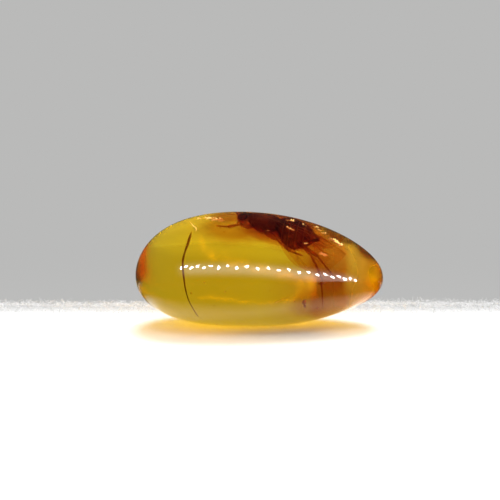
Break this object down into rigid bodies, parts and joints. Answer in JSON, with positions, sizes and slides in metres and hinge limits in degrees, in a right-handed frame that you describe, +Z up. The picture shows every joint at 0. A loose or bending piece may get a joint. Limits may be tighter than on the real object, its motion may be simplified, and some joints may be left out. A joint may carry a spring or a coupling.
{
  "type": "insect in amber",
  "caption": "Small egg-shaped pebble of clear golden amber, polished all over, with a dark winged insect sealed inside; rests on a small flat under its belly.",
  "frame": {"origin": "on the resting flat under the belly, below the middle of the stone's box", "axes": "+X from the blunt end to the pointed end, +Z up through the crown, +Y completes the frame; the insect's head points towards -X"},
  "size_m": [0.022, 0.014, 0.01],
  "materials": {
    "amber": "clear golden yellow fossil resin, hand polished to a wet gloss, with slow waves",
    "chitin": "dark red-brown insect cuticle, satin, ringed abdomen, smoky brown wings"
  },
  "bodies": {
    "root": {"amber_base": "amber", "amber_crown": "amber", "insect": "chitin"}
  },
  "joints": []
}
